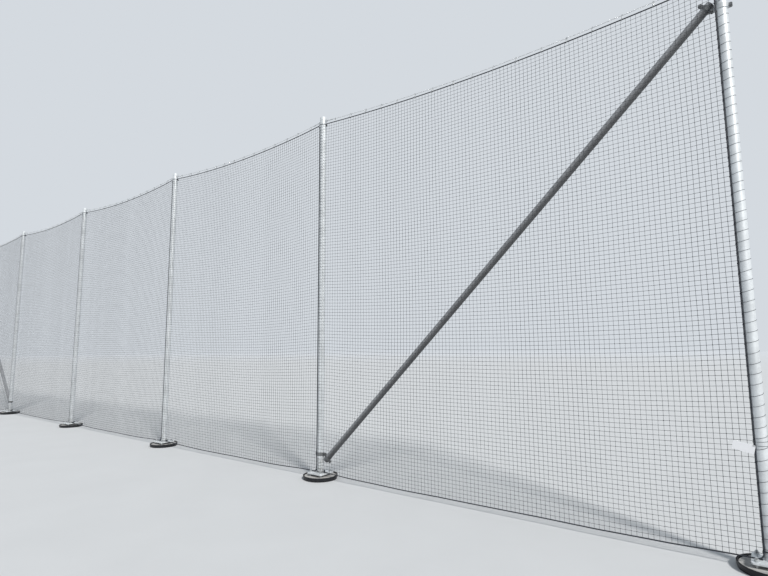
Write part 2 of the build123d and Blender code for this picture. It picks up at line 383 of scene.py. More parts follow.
def bar_mesh(name, lines, radius, sides=6, closed=False):
    """Round bar, wire or cord along each line. Its UV map has the line's points along and the girth round."""
    curve = bpy.data.curves.new(name, "CURVE")
    curve.dimensions = "3D"
    curve.bevel_depth = radius
    curve.bevel_resolution = (sides - 4) // 2
    curve.use_fill_caps = not closed
    for line in lines:
        spline = curve.splines.new("POLY")
        spline.points.add(len(line) - 1)
        spline.points.foreach_set("co", [value for point in line for value in (*point, 1.0)])
        spline.use_cyclic_u = closed
    return own_mesh(name, bpy.data.objects.new(name, curve))


def rope_mesh(name, line, radius, sides=8):
    """Bar along one line, with metres along it in the UV map, so that a twist keeps its pitch."""
    mesh = bar_mesh(name, [line], radius, sides)
    reach = [0.0]
    for start, end in zip(line, line[1:]):
        reach.append(reach[-1] + (end - start).length)
    for corner in mesh.uv_layers[0].data:
        corner.uv.x = reach[round(corner.uv.x * (len(reach) - 1))]
    return mesh


def bevel(solid, edges, offset, segments):
    bmesh.ops.bevel(
        solid, geom=edges, offset=offset, affect="EDGES", segments=segments, profile=0.5, material=-1
    )


def joined(name, meshes, places=None):
    """One object from several meshes, each put at its place, with doubled seams closed."""
    solid = bmesh.new()
    for number, mesh in enumerate(meshes):
        count = len(solid.verts)
        solid.from_mesh(mesh)
        if places:
            solid.verts.ensure_lookup_table()
            bmesh.ops.transform(solid, matrix=places[number], verts=solid.verts[count:])
    bmesh.ops.remove_doubles(solid, verts=solid.verts, dist=1e-6)
    return bpy.data.objects.new(name, mesh_from(solid, name))


def show(piece, look, nodes=()):
    """Put a made piece in the scene, in the finish of that name, riding on the row's one body."""
    bpy.context.scene.collection.objects.link(piece)
    piece.data.materials.clear()
    piece.data.materials.append(finish(look))
    for face in piece.data.polygons:
        face.use_smooth = True
    if nodes:
        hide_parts(*nodes)
    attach(piece, "root")
    return piece


def dress(looks):
    """Give CAD nodes the finishes of these names, by the start of the nodes' names."""
    for start, look in looks.items():
        for name in sorted(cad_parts):
            if name.startswith(start):
                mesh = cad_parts[name].data
                mesh.materials.clear()
                mesh.materials.append(finish(look))


def shaded(colour, share):
    """The colour made darker or paler."""
    return [min(1.0, value * share) for value in colour]


class Finish:
    """A material being wired: a Principled shader and short calls for its nodes."""

    def __init__(self, name, roughness, metallic=0.0):
        self.material = bpy.data.materials.new(name)
        self.material.use_nodes = True
        self.tree = self.material.node_tree
        self.shader = self.tree.nodes["Principled BSDF"]
        self.shader.inputs["Roughness"].default_value = roughness
        self.shader.inputs["Metallic"].default_value = metallic
        coordinates = self.tree.nodes.new("ShaderNodeTexCoord")
        self.place = coordinates.outputs["Object"]
        self.unwrapped = coordinates.outputs["UV"]

    def node(self, kind, **values):
        made = self.tree.nodes.new(kind)
        for name, value in values.items():
            setattr(made, name, value)
        return made

    def feed(self, socket, value):
        """Give a socket a number, a colour or another node's output."""
        if isinstance(value, bpy.types.NodeSocket):
            self.tree.links.new(value, socket)
        elif hasattr(value, "__len__"):
            socket.default_value = (*value, 1.0)
        else:
            socket.default_value = value

    def stretched(self, scale):
        """Object coordinates, scaled by axis."""
        made = self.node("ShaderNodeMapping")
        made.inputs["Scale"].default_value = scale
        self.feed(made.inputs["Vector"], self.place)
        return made.outputs["Vector"]

    def cloud(self, scale, detail=3.0, vector=None):
        """Noise from 0 to 1 at so many spots a metre."""
        made = self.node("ShaderNodeTexNoise")
        made.inputs["Scale"].default_value = scale
        made.inputs["Detail"].default_value = detail
        self.feed(made.inputs["Vector"], vector or self.place)
        return made.outputs["Fac"]

    def cells(self, scale, output="Color"):
        made = self.node("ShaderNodeTexVoronoi")
        made.inputs["Scale"].default_value = scale
        self.feed(made.inputs["Vector"], self.place)
        return made.outputs[output]

    def ramp(self, source, *stops):
        """Colour ramp through stops of (position, colour or grey)."""
        made = self.node("ShaderNodeValToRGB")
        elements = made.color_ramp.elements
        while len(elements) < len(stops):
            elements.new(1.0)
        for element, (position, colour) in zip(elements, stops):
            element.position = position
            element.color = (*colour, 1.0) if hasattr(colour, "__len__") else (colour, colour, colour, 1.0)
        self.feed(made.inputs["Fac"], source)
        return made.outputs["Color"]

    def between(self, source, low, high, first=0.0, last=1.0):
        """A value's place between low and high, as a number that runs from first to last."""
        made = self.node("ShaderNodeMapRange")
        for name, value in (("From Min", low), ("From Max", high), ("To Min", first), ("To Max", last)):
            made.inputs[name].default_value = value
        self.feed(made.inputs["Value"], source)
        return made.outputs[0]

    def mixed(self, share, first, second, blend="MIX"):
        """Two colours mixed by a share."""
        made = self.node("ShaderNodeMix", data_type="RGBA", blend_type=blend)
        for number, value in ((0, share), (6, first), (7, second)):
            self.feed(made.inputs[number], value)
        return made.outputs[2]

    def sum(self, first, second, operation="ADD"):
        made = self.node("ShaderNodeMath", operation=operation)
        for number, value in enumerate((first, second)):
            self.feed(made.inputs[number], value)
        return made.outputs[0]

    def axis(self, name, source=None):
        """One coordinate in metres."""
        made = self.node("ShaderNodeSeparateXYZ")
        self.feed(made.inputs[0], source or self.place)
        return made.outputs[name]

    def colour(self, source):
        self.feed(self.shader.inputs["Base Color"], source)

    def roughness(self, source):
        self.feed(self.shader.inputs["Roughness"], source)

    def bump(self, height, distance, strength=1.0):
        """Relief of that depth in metres, over any relief that is there already."""
        made = self.node("ShaderNodeBump")
        made.inputs["Strength"].default_value = strength
        made.inputs["Distance"].default_value = distance
        self.feed(made.inputs["Height"], height)
        normal = self.shader.inputs["Normal"]
        if normal.is_linked:
            self.feed(made.inputs["Normal"], normal.links[0].from_socket)
        self.feed(normal, made.outputs["Normal"])


def galvanised(name, colour, dirt_and_shade_height=0.0, brace_side=0, painted_shade_ears=False):
    """Hot-dip zinc: spangle, cloudy patches and upright runs, with dark spots towards a foot: splashes and
    painted shade.

    A brace's side, -1 or 1, gives the way it leans. Its underside gets painted shade and its top a painted
    highlight.
    A head collar's ears get painted shade, as dark as the brace.
    """
    made = Finish(name, 0.45, 0.3)
    dark, pale = shaded(colour, 0.86), shaded(colour, 1.10)
    spangle = made.ramp(made.cells(85.0), (0.15, 0.88), (0.85, 1.04))
    patches = made.ramp(made.cloud(7.0, 5.0), (0.30, dark), (0.50, colour), (0.72, pale))
    runs = made.ramp(made.cloud(1.0, 4.0, made.stretched((60.0, 60.0, 1.6))), (0.35, 0.90), (0.62, 1.0))
    shade = made.mixed(0.5, patches, spangle, "MULTIPLY")
    shade = made.mixed(0.6, shade, runs, "MULTIPLY")
    # Dark spots towards a post's foot: partly dried splashes, partly painted shade of the foot.
    if dirt_and_shade_height:
        fade = made.between(made.axis("Z"), plate_top, plate_top + dirt_and_shade_height, 0.9, 0.0)
        spots = made.ramp(made.cloud(38.0, 6.0), (0.42, 0.0), (0.68, 1.0))
        shade = made.mixed(made.sum(fade, spots, "MULTIPLY"), shade, (0.24, 0.235, 0.22))
    # Painted shade under the brace and a painted highlight on its top, across the tube.
    if brace_side:
        across = Vector((-brace_side * math.sin(brace_slope), 0.0, math.cos(brace_slope)))
        over = made.sum(made.axis("X"), across.x, "MULTIPLY")
        over = made.sum(over, made.sum(made.axis("Z"), across.z, "MULTIPLY"))
        over = made.sum(over, brace_middles[brace_side].dot(across), "SUBTRACT")
        over = made.between(over, -brace_radius, brace_radius)
        top = made.ramp(over, (0.0, 0.30), (0.35, 0.46), (0.52, 0.90), (1.0, 1.25))
        shade = made.mixed(1.0, shade, top, "MULTIPLY")
    # Painted shade on a head collar's ears, beyond its band round the post.
    if painted_shade_ears:
        half = (post_places[-1] - post_places[0]) / 2
        away = made.sum(made.sum(made.axis("X"), post_places[0] + half, "SUBTRACT"), 0.0, "ABSOLUTE")
        away = made.sum(made.sum(away, half, "SUBTRACT"), 0.0, "ABSOLUTE")
        band = post_radius + collar_wall
        shade = made.mixed(made.between(away, band, band + 0.012), shade, shaded(colour, 0.25))
    made.colour(shade)
    made.roughness(made.ramp(made.cloud(26.0, 4.0), (0.3, 0.36), (0.7, 0.54)))
    made.bump(made.cloud(420.0, 2.0), 0.0002, 0.5)
    made.bump(made.cloud(45.0, 3.0), 0.0005, 0.4)
    return made.material


def zinc_plated(name, colour, thread=0.0):
    """Bright zinc of nuts, bolts and clips, a little stained. A thread's pitch cuts the studs' ends."""
    made = Finish(name, 0.34, 0.7)
    made.colour(made.ramp(made.cloud(90.0, 5.0), (0.32, shaded(colour, 0.62)), (0.60, colour)))
    made.roughness(made.ramp(made.cloud(160.0, 3.0), (0.3, 0.26), (0.7, 0.5)))
    if thread:
        wave = made.sum(made.sum(made.axis("Z"), 2 * math.pi / thread, "MULTIPLY"), 0.0, "SINE")
        above = made.sum(made.axis("Z"), bolts_top - 0.018, "GREATER_THAN")
        made.bump(made.sum(wave, above, "MULTIPLY"), 0.0009)
    made.bump(made.cloud(700.0, 2.0), 0.0001, 0.5)
    return made.material


def concrete_cast(name, colour):
    """Trowelled concrete: cement skin, sand, stains and small air holes, with painted shade in the holes."""
    made = Finish(name, 0.88)
    dark, pale = shaded(colour, 0.60), shaded(colour, 1.22)
    skin = made.ramp(made.cloud(11.0, 7.0), (0.30, dark), (0.52, colour), (0.74, pale))
    sand = made.ramp(made.cloud(420.0, 2.0), (0.30, 0.74), (0.70, 1.08))
    holes = made.ramp(made.cells(150.0, "Distance"), (0.10, 0.35), (0.17, 1.0))
    shade = made.mixed(0.75, skin, sand, "MULTIPLY")
    # The air holes darken the colour: painted shade in the recesses.
    made.colour(made.mixed(0.6, shade, holes, "MULTIPLY"))
    made.bump(made.cloud(320.0, 4.0), 0.0012, 0.8)
    made.bump(holes, 0.0015, 0.7)
    made.bump(made.cloud(16.0, 3.0), 0.006, 0.7)
    return made.material


def pipe_plastic(name, colour):
    """Black pipe, dusty where it stands out of the ground."""
    made = Finish(name, 0.36)
    dust = made.ramp(made.cloud(24.0, 6.0), (0.52, 0.0), (0.85, 0.25))
    made.colour(made.mixed(dust, colour, (0.11, 0.105, 0.10)))
    made.shader.inputs["Specular IOR Level"].default_value = 0.3
    made.roughness(made.ramp(made.cloud(60.0, 4.0), (0.3, 0.28), (0.7, 0.52)))
    made.bump(made.cloud(260.0, 3.0), 0.0004, 0.5)
    return made.material


def twine_fibre(name, colour):
    """Braided netting twine: short fibres and a slight sheen."""
    made = Finish(name, 0.62)
    made.shader.inputs["Sheen Weight"].default_value = 0.10
    made.shader.inputs["Sheen Roughness"].default_value = 0.5
    made.colour(made.ramp(made.cloud(520.0, 3.0), (0.35, colour), (0.75, shaded(colour, 2.1))))
    made.bump(made.cells(900.0, "Distance"), 0.0005, 0.8)
    return made.material


def twisted(name, colour, strands, lay, relief=0.0022, roughness=0.55, metallic=0.0):
    """Laid rope or wire: strands that wind round, with their yarns, read from the piece's UV map; painted
    shade in the grooves, painted highlight on the crowns.
    """
    made = Finish(name, roughness, metallic)
    along = made.axis("X", made.unwrapped)
    girth_share = made.axis("Y", made.unwrapped)
    turns = made.sum(made.sum(girth_share, strands, "MULTIPLY"), made.sum(along, strands / lay, "MULTIPLY"))
    wave = made.sum(made.sum(made.sum(turns, math.pi, "MULTIPLY"), 0.0, "SINE"), 0.0, "ABSOLUTE")
    yarns = made.sum(made.sum(turns, 2 * math.pi * 5, "MULTIPLY"), 0.0, "SINE")
    # Painted shade in the grooves between strands and a painted highlight on their crowns.
    made.colour(made.ramp(wave, (0.10, shaded(colour, 0.35)), (0.50, colour), (1.0, shaded(colour, 3.2))))
    made.bump(wave, relief, 0.9)
    made.bump(yarns, 0.0002, 0.6)
    return made.material


def coated_plate(name, colour):
    """White coated sheet, a little scuffed and dusty."""
    made = Finish(name, 0.35)
    streaks = made.cloud(1.0, 6.0, made.stretched((70.0, 70.0, 160.0)))
    made.colour(made.mixed(made.ramp(streaks, (0.60, 0.0), (0.85, 0.22)), colour, (0.52, 0.51, 0.48)))
    made.roughness(made.ramp(made.cloud(70.0, 4.0), (0.3, 0.28), (0.7, 0.5)))
    made.bump(made.cloud(150.0, 3.0), 0.0002, 0.4)
    return made.material


def finish(name):
    """The finish of that name, wired the first time it is asked for."""
    palette = colours()
    steel, zinc = palette.galvanised, palette.zinc
    makers = {
        "post_zinc": lambda: galvanised(name, steel, dirt_and_shade_height=0.30),
        "brace_zinc_left": lambda: galvanised(name, palette.brace, brace_side=-1),
        "brace_zinc_right": lambda: galvanised(name, palette.brace, brace_side=1),
        # The base plates are a paler copy of the posts' zinc: painted light on their tops.
        "plate_zinc": lambda: galvanised(name, shaded(steel, 1.15)),
        "collar_zinc": lambda: galvanised(name, shaded(steel, 0.80), painted_shade_ears=True),
        # The foot collars are a darker copy of the collars' zinc: painted shade.
        "foot_collar_zinc": lambda: galvanised(name, shaded(steel, 0.26)),
        "weld_zinc": lambda: galvanised(name, shaded(steel, 0.75), dirt_and_shade_height=0.1),
        "fastener_zinc": lambda: zinc_plated(name, zinc),
        "stud_zinc": lambda: zinc_plated(name, zinc, thread_pitch),
        "collar_bolt_zinc": lambda: zinc_plated(name, shaded(zinc, 0.32)),
        "clip_zinc": lambda: zinc_plated(name, shaded(zinc, 0.85)),
        "footing_concrete": lambda: concrete_cast(name, palette.concrete),
        "black_pipe": lambda: pipe_plastic(name, palette.pipe),
        "braided_twine": lambda: twine_fibre(name, palette.twine),
        "laid_rope": lambda: twisted(name, palette.rope, 3, 0.042),
        "lacing_cord": lambda: twisted(name, palette.rope, 8, 0.020, 0.00063),
        "stranded_wire": lambda: twisted(name, zinc, 6, 0.055, 0.00126, 0.38, 0.8),
        "blank_plate": lambda: coated_plate(name, palette.plate),
    }
    return bpy.data.materials.get(name) or makers[name]()


def knots_group():
    """Geometry nodes that put a small knot, turned and sized at random, on every point."""
    group = bpy.data.node_groups.new("knots", "GeometryNodeTree")
    for way in ("INPUT", "OUTPUT"):
        group.interface.new_socket("Geometry", in_out=way, socket_type="NodeSocketGeometry")
    nodes, links = group.nodes, group.links
    enter = nodes.new("NodeGroupInput")
    leave = nodes.new("NodeGroupOutput")
    knot = nodes.new("GeometryNodeMeshUVSphere")
    knot.inputs["Segments"].default_value = 4
    knot.inputs["Rings"].default_value = 2
    knot.inputs["Radius"].default_value = sizes().knot
    place = nodes.new("GeometryNodeInstanceOnPoints")
    real = nodes.new("GeometryNodeRealizeInstances")
    seed = sizes().seed
    for name, low, high in (
        ("Rotation", (-0.5, -0.5, -0.9), (0.5, 0.5, 0.9)),
        ("Scale", (0.85, 0.75, 0.95), (1.20, 0.95, 1.30)),
    ):
        draw = nodes.new("FunctionNodeRandomValue")
        draw.data_type = "FLOAT_VECTOR"
        draw.inputs["Min"].default_value = low
        draw.inputs["Max"].default_value = high
        draw.inputs["Seed"].default_value = seed
        links.new(draw.outputs["Value"], place.inputs[name])
        seed += 1
    links.new(enter.outputs[0], place.inputs["Points"])
    links.new(knot.outputs["Mesh"], place.inputs["Instance"])
    links.new(place.outputs[0], real.inputs[0])
    links.new(real.outputs[0], leave.inputs[0])
    return group


def net(bay):
    """One bay's net: upright and level twines from rope to rope, knotted where they cross."""
    columns = round((bay.right - bay.left) / sizes().mesh_width)
    rows = round((bay.head(bay.middle) - foot_height) / sizes().mesh_height)
    places = [bay.left + (bay.right - bay.left) * column / columns for column in range(1, columns)]
    uprights = [bay.upright(x, 3 / rows) for x in places]
    levels = [bay.level(row / rows) for row in range(1, rows)]
    knots = [bay.point(x, row / rows) for x in places for row in range(1, rows)]
    if not bay.first:
        front = [x for x in bay.stations(twine_step) if x < bay.left_post + 0.17]
        levels += [[bay.point(x, share) for x in front] for share in (0.0, 1.0)]
    name = f"net_{bay.number}"
    points = bpy.data.meshes.new(name + "_knots")
    points.from_pydata(knots, [], [])
    holder = bpy.data.objects.new(name + "_knots", points)
    holder.modifiers.new("knots", "NODES").node_group = knots_group()
    meshes = [bar_mesh(name, uprights + levels, sizes().twine / 2, sides=4), own_mesh(name, holder)]
    return joined(name, meshes)


def rounded(corners, radius):
    """An open line through the corners, with each corner rounded off unless it is nearly straight."""
    steps = 6
    line = [corners[0]]
    for before, corner, after in zip(corners, corners[1:], corners[2:]):
        back = (before - corner).normalized()
        on = (after - corner).normalized()
        half = back.angle(on) / 2
        if half > math.radians(80):
            line.append(corner)
            continue
        reach = radius / math.tan(half)
        centre = corner + (back + on).normalized() * (radius / math.sin(half))
        start = (corner + back * reach - centre).normalized()
        end = (corner + on * reach - centre).normalized()
        line += [centre + radius * start.slerp(end, step / steps) for step in range(steps + 1)]
    return line + [corners[-1]]


def round_back(post, height, turn):
    """A rope's way from a side rope round the back of a middle post, turning down or up to that side rope."""
    reach = back_reach(height)
    x, y, _ = side_rope(post, height)
    line = [
        Vector((x, y, height + turn * 0.06)),
        Vector((post - 0.93 * reach, -0.37 * reach, height + turn * 0.022)),
    ]
    line += [on_circle(post, 0.0, reach, math.radians(turned), height) for turned in range(188, 10, -16)]
    return line


def upright_rope(post, x, head_corner):
    """A side rope's points between its corners, from the head down."""
    count = 66
    rise = (head_corner - plate_rope) / count
    heights = [head_corner - rise * step for step in range(1, count)]
    return [Vector((x, rope_front(post, end_reach, height, rope_radius), height)) for height in heights]


def border(bay):
    """One bay's border rope: along the head, down the right side and back along the foot."""
    head, foot = [], []
    for x in bay.stations(rope_step, front=False):
        height = bay.head(x)
        head.append(Vector((x, bay.rope_depth(x, height), height)))
        wander = 0.004 * noise.noise(Vector((x * 2.1, 2.3, 0.0))) * (1 - bay.bend(x))
        height = bay.foot(x)
        foot.append(Vector((x, bay.rope_depth(x, height) + wander, height + wander)))
    line = head + upright_rope(bay.right_post, bay.right, bay.head_corner) + foot[::-1]
    if bay.first:
        line = [line[-1]] + upright_rope(bay.left_post, bay.left, bay.head_corner)[::-1] + line
    else:
        line = round_back(bay.left_post, bay.head_corner, -1) + line
        line += round_back(bay.left_post, plate_rope, 1)[::-1]
    return joined(f"border_{bay.number}", [rope_mesh("border", rounded(line, rope_corner), rope_radius)])


def add_floor():
    """A round pale floor that fades to the backdrop's colour."""
    ground = bmesh.new()
    middle = Matrix.Translation((post_places[-1] / 2, 0.0, -0.0004))
    bmesh.ops.create_circle(ground, cap_ends=True, segments=64, radius=floor_reach, matrix=middle)
    floor = bpy.data.objects.new("floor", mesh_from(ground, "floor"))
    bpy.context.scene.collection.objects.link(floor)
    made = Finish("studio_floor", 0.9)
    tone = colours().floor
    grain = made.ramp(made.cloud(1.3, 4.0), (0.3, shaded(tone, 0.97)), (0.7, tone))
    distance = made.node("ShaderNodeVectorMath", operation="LENGTH")
    made.feed(distance.inputs[0], made.place)
    share = made.sum(distance.outputs["Value"], 1 / floor_reach, "MULTIPLY")
    made.colour(made.mixed(made.ramp(share, (0.25, 0.0), (0.8, 1.0)), grain, far_floor))
    floor.data.materials.append(made.material)


def add_sun():
    key = bpy.data.lights.new("key", "SUN")
    key.energy = 3.2
    key.angle = math.radians(9.0)
    key.color = (1.0, 0.985, 0.96)
    lamp = bpy.data.objects.new("key", key)
    lamp.rotation_euler = sun_direction.to_track_quat("Z", "Y").to_euler()
    bpy.context.scene.collection.objects.link(lamp)


def add_world():
    """A soft glow from all round, with the backdrop where it is seen, mirrored or looked through."""
    world = bpy.data.worlds.new("studio")
    world.use_nodes = True
    nodes, links = world.node_tree.nodes, world.node_tree.links
    nodes.clear()
    mix = nodes.new("ShaderNodeMixShader")
    for socket, colour, strength in ((1, glow, 0.42), (2, backdrop, 1.0)):
        light = nodes.new("ShaderNodeBackground")
        light.inputs["Color"].default_value = colour
        light.inputs["Strength"].default_value = strength
        links.new(light.outputs[0], mix.inputs[socket])
    path = nodes.new("ShaderNodeLightPath")
    seen = path.outputs["Is Camera Ray"]
    for name in ("Is Glossy Ray", "Is Transmission Ray"):
        either = nodes.new("ShaderNodeMath")
        either.operation = "ADD"
        either.use_clamp = True
        links.new(seen, either.inputs[0])
        links.new(path.outputs[name], either.inputs[1])
        seen = either.outputs[0]
    links.new(seen, mix.inputs[0])
    links.new(mix.outputs[0], nodes.new("ShaderNodeOutputWorld").inputs["Surface"])
    bpy.context.scene.world = world
    bpy.context.scene.view_settings.view_transform = "Standard"


def add_camera():
    lens = bpy.data.cameras.new("camera")
    lens.sensor_width = 36.0
    lens.sensor_fit = "HORIZONTAL"
    lens.lens = focal_pixels / picture_width * lens.sensor_width
    lens.clip_start, lens.clip_end = 0.05, 500.0
    camera = bpy.data.objects.new("camera", lens)
    level = math.cos(camera_pitch)
    ahead = Vector((-math.sin(camera_yaw) * level, math.cos(camera_yaw) * level, math.sin(camera_pitch)))
    across = Vector((math.cos(camera_yaw), math.sin(camera_yaw), 0.0))
    upward = across.cross(ahead)
    right = across * math.cos(camera_roll) + upward * math.sin(camera_roll)
    up = upward * math.cos(camera_roll) - across * math.sin(camera_roll)
    turn = Matrix((right, up, -ahead)).transposed().to_4x4()
    camera.matrix_world = Matrix.Translation(camera_place) @ turn
    bpy.context.scene.collection.objects.link(camera)
    bpy.context.scene.camera = camera


class NETTING_OT_stage(bpy.types.Operator):
    """Floor, soft light and the camera that fits the photograph"""

    bl_idname = "netting.stage"
    bl_label = "Stage"

    def execute(self, context):
        add_floor()
        add_sun()
        add_world()
        add_camera()
        return {"FINISHED"}


class NETTING_OT_steelwork(bpy.types.Operator):
    """Zinc on the posts, caps, plates, collars and braces"""

    bl_idname = "netting.steelwork"
    bl_label = "Steelwork"

    def execute(self, context):
        dress({
            "post_": "post_zinc",
            "base_plate_": "plate_zinc",
            "brace_left": "brace_zinc_left",
            "brace_right": "brace_zinc_right",
            "head_collar_": "collar_zinc",
            "foot_collar_": "foot_collar_zinc",
        })
        return {"FINISHED"}


class NETTING_OT_footings(bpy.types.Operator):
    """Concrete and its form pipes"""

    bl_idname = "netting.footings"
    bl_label = "Footings"

    def execute(self, context):
        dress({"footing_": "footing_concrete", "form_ring_": "black_pipe"})
        return {"FINISHED"}


class NETTING_OT_fasteners(bpy.types.Operator):
    """Zinc on the bolts"""

    bl_idname = "netting.fasteners"
    bl_label = "Fasteners"

    def execute(self, context):
        dress({
            "anchor_bolts": "stud_zinc",
            "eye_bolts": "fastener_zinc",
            "collar_bolts": "collar_bolt_zinc",
        })
        return {"FINISHED"}


class NETTING_OT_nets(bpy.types.Operator):
    """Knotted nets in place of the flat panels"""

    bl_idname = "netting.nets"
    bl_label = "Nets"

    def execute(self, context):
        noise.seed_set(sizes().seed)
        for bay in bays:
            show(net(bay), "braided_twine", [f"net_panel_{bay.number}"])
        return {"FINISHED"}


class NETTING_OT_borders(bpy.types.Operator):
    """Laid ropes round the nets"""

    bl_idname = "netting.borders"
    bl_label = "Border ropes"

    def execute(self, context):
        for bay in bays:
            show(border(bay), "laid_rope", [f"border_rope_{bay.number}"])
        return {"FINISHED"}


def wire_end(post, side, wire):
    """Points of the wire's loop through a post's eye, from the tail in the ferrule to the span.

    Each point is a distance from the post and a distance to the side in wire radiuses.
    """
    inside = wire_start - eye_bar - wire_radius
    loop = [(0.196, 1.15), (0.142, 1.15), (0.120, 2.2), (0.100, 2.7), (0.085, 2.2), (inside, 0.0)]
    points = loop + [(reach, -wide) for reach, wide in reversed(loop[1:-1])] + [(0.196, -1.05), (0.26, 0.0)]
    return [
        Vector((post + side * reach, wide * wire_radius, wire(post + side * reach)))
        for reach, wide in points
    ]


def softened(points):
    """The line with its corners cut twice, for wire that can't fold sharply."""
    line = list(points)
    for _ in range(2):
        cut = [line[0]]
        for start, end in zip(line, line[1:]):
            cut += [start.lerp(end, 0.25), start.lerp(end, 0.75)]
        line = cut + [line[-1]]
    return line


def ferrule(start, end):
    """Pressed oval sleeve round the two parts of the wire."""
    along = end - start
    solid = bmesh.new()
    bmesh.ops.create_cone(
        solid, cap_ends=True, segments=16, radius1=1.0, radius2=1.0, depth=along.length,
    )
    bmesh.ops.scale(solid, vec=(wire_radius * 1.55, wire_radius * 2.45, 1.0), verts=solid.verts)
    rims = [edge for edge in solid.edges if len({round(v.co.z, 5) for v in edge.verts}) == 1]
    bevel(solid, rims, 0.0016, 2)
    turn = along.to_track_quat("Z", "Y").to_matrix().to_4x4()
    bmesh.ops.transform(solid, matrix=Matrix.Translation((start + end) / 2) @ turn, verts=solid.verts)
    return mesh_from(solid, "ferrule")


class NETTING_OT_wires(bpy.types.Operator):
    """Head wires with a loop and a ferrule at each eye"""

    bl_idname = "netting.wires"
    bl_label = "Head wires"

    def execute(self, context):
        wires, ferrules = [], []
        for bay in bays:
            left_end = softened(wire_end(bay.left_post, 1, bay.wire))
            right_end = softened(wire_end(bay.right_post, -1, bay.wire))
            first, last = left_end[-1].x, right_end[-1].x
            count = 28
            xs = [first + (last - first) * number / count for number in range(1, count)]
            span = [Vector((x, 0.0, bay.wire(x))) for x in xs]
            wires.append(rope_mesh("wire", left_end + span + right_end[::-1], wire_radius))
            for post, side in ((bay.left_post, 1), (bay.right_post, -1)):
                ends = [post + side * reach for reach in (0.148, 0.188)]
                ferrules.append(ferrule(*(Vector((x, 0.0, bay.wire(x))) for x in ends)))
        show(joined("head_wires", wires), "stranded_wire", ["head_wire"])
        show(joined("wire_ferrules", ferrules), "fastener_zinc")
        return {"FINISHED"}


def clip_mesh(length, width):
    """Pear-shaped snap hook in the YZ plane: its wire end at the origin, its rope end below."""
    bar = sizes().clip_bar
    top_radius = 0.30 * width
    low_radius = 0.5 * width
    top = Vector((0.0, 0.0, -top_radius + bar / 2 + wire_radius))
    low = Vector((0.0, 0.0, -length + low_radius - bar / 2 - rope_radius))
    lean = math.asin((low_radius - top_radius) / (top.z - low.z))

    def bow(centre, radius, first, last, steps):
        angles = [first + (last - first) * step / steps for step in range(steps + 1)]
        return [centre + radius * Vector((0.0, math.sin(angle), math.cos(angle))) for angle in angles]

    over = bow(top, top_radius, -math.pi / 2 + lean, math.pi / 2 - lean, 6)
    under = bow(low, low_radius, math.pi / 2 - lean, 1.5 * math.pi + lean, 8)
    body = bar_mesh("clip", [over + under], bar / 2, closed=True)
    hinge_share, nose_share = 0.16, 0.86
    start, end = under[-1], over[0]
    nose = [start.lerp(end, nose_share - 0.10), start.lerp(end, nose_share + 0.06)]
    sleeve = bar_mesh("clip", [nose], bar * 0.68, sides=8)
    hinge = start.lerp(end, hinge_share)
    across = Vector((bar * 0.75, 0.0, 0.0))
    rivet = bar_mesh("clip", [[hinge - across, hinge + across]], bar * 0.3)
    made = joined("clip", [body, sleeve, rivet])
    mesh = made.data
    bpy.data.objects.remove(made)
    return mesh


class NETTING_OT_clips(bpy.types.Operator):
    """Snap hooks that hang the nets on the head wires"""

    bl_idname = "netting.clips"
    bl_label = "Clips"

    def execute(self, context):
        draw = random.Random(sizes().seed)
        hook = clip_mesh(math.hypot(rope_drop, net_place), 0.040)
        for bay in bays:
            start, end = bay.left_post + 0.25, bay.right_post - 0.25
            count = round((end - start) / sizes().clip_spacing)
            places = []
            for number in range(count + 1):
                x = start + (end - start) * number / count + draw.uniform(-0.012, 0.012)
                slope = math.atan2(-bay.rope_depth(x, bay.head(x)), rope_drop)
                swing = Matrix.Rotation(0.35 + draw.uniform(-0.35, 0.35), 4, "Z")
                lean = Matrix.Rotation(-slope, 4, "X") @ Matrix.Rotation(draw.uniform(-0.08, 0.08), 4, "Y")
                places.append(Matrix.Translation((x, 0.0, bay.wire(x))) @ lean @ swing)
            piece = joined(f"clips_{bay.number}", [hook] * len(places), places)
            show(piece, "clip_zinc")
        return {"FINISHED"}


def girth(post, height, ropes, spare=0.0):
    """Corners of the shortest path round a post and what lies against it, given as (x, y, radius)."""
    cord = sizes().lacing / 2
    circles = [(post, 0.0, post_radius + cord + spare, 24)]
    circles += [(x, y, radius + cord, 12) for x, y, radius in ropes]
    points = []
    for x, y, radius, count in circles:
        points += [on_circle(x, y, radius, 2 * math.pi * step / count) for step in range(count)]
    hull = [points[index] for index in geometry.convex_hull_2d(points)]
    start = min(range(len(hull)), key=lambda index: hull[index].x)
    return [Vector((corner.x, corner.y, height)) for corner in hull[start:] + hull[:start]]


def knot_mesh(place, size):
    """Overhand knot in the lacing cord."""
    line = []
    for step in range(24):
        angle = 2 * math.pi * step / 24
        loop = Vector((
            math.sin(angle) + 2 * math.sin(2 * angle),
            -math.sin(3 * angle),
            math.cos(angle) - 2 * math.cos(2 * angle),
        ))
        line.append(place + loop * size / 3)
    return bar_mesh("knot", [line], sizes().lacing * 0.55, closed=True)


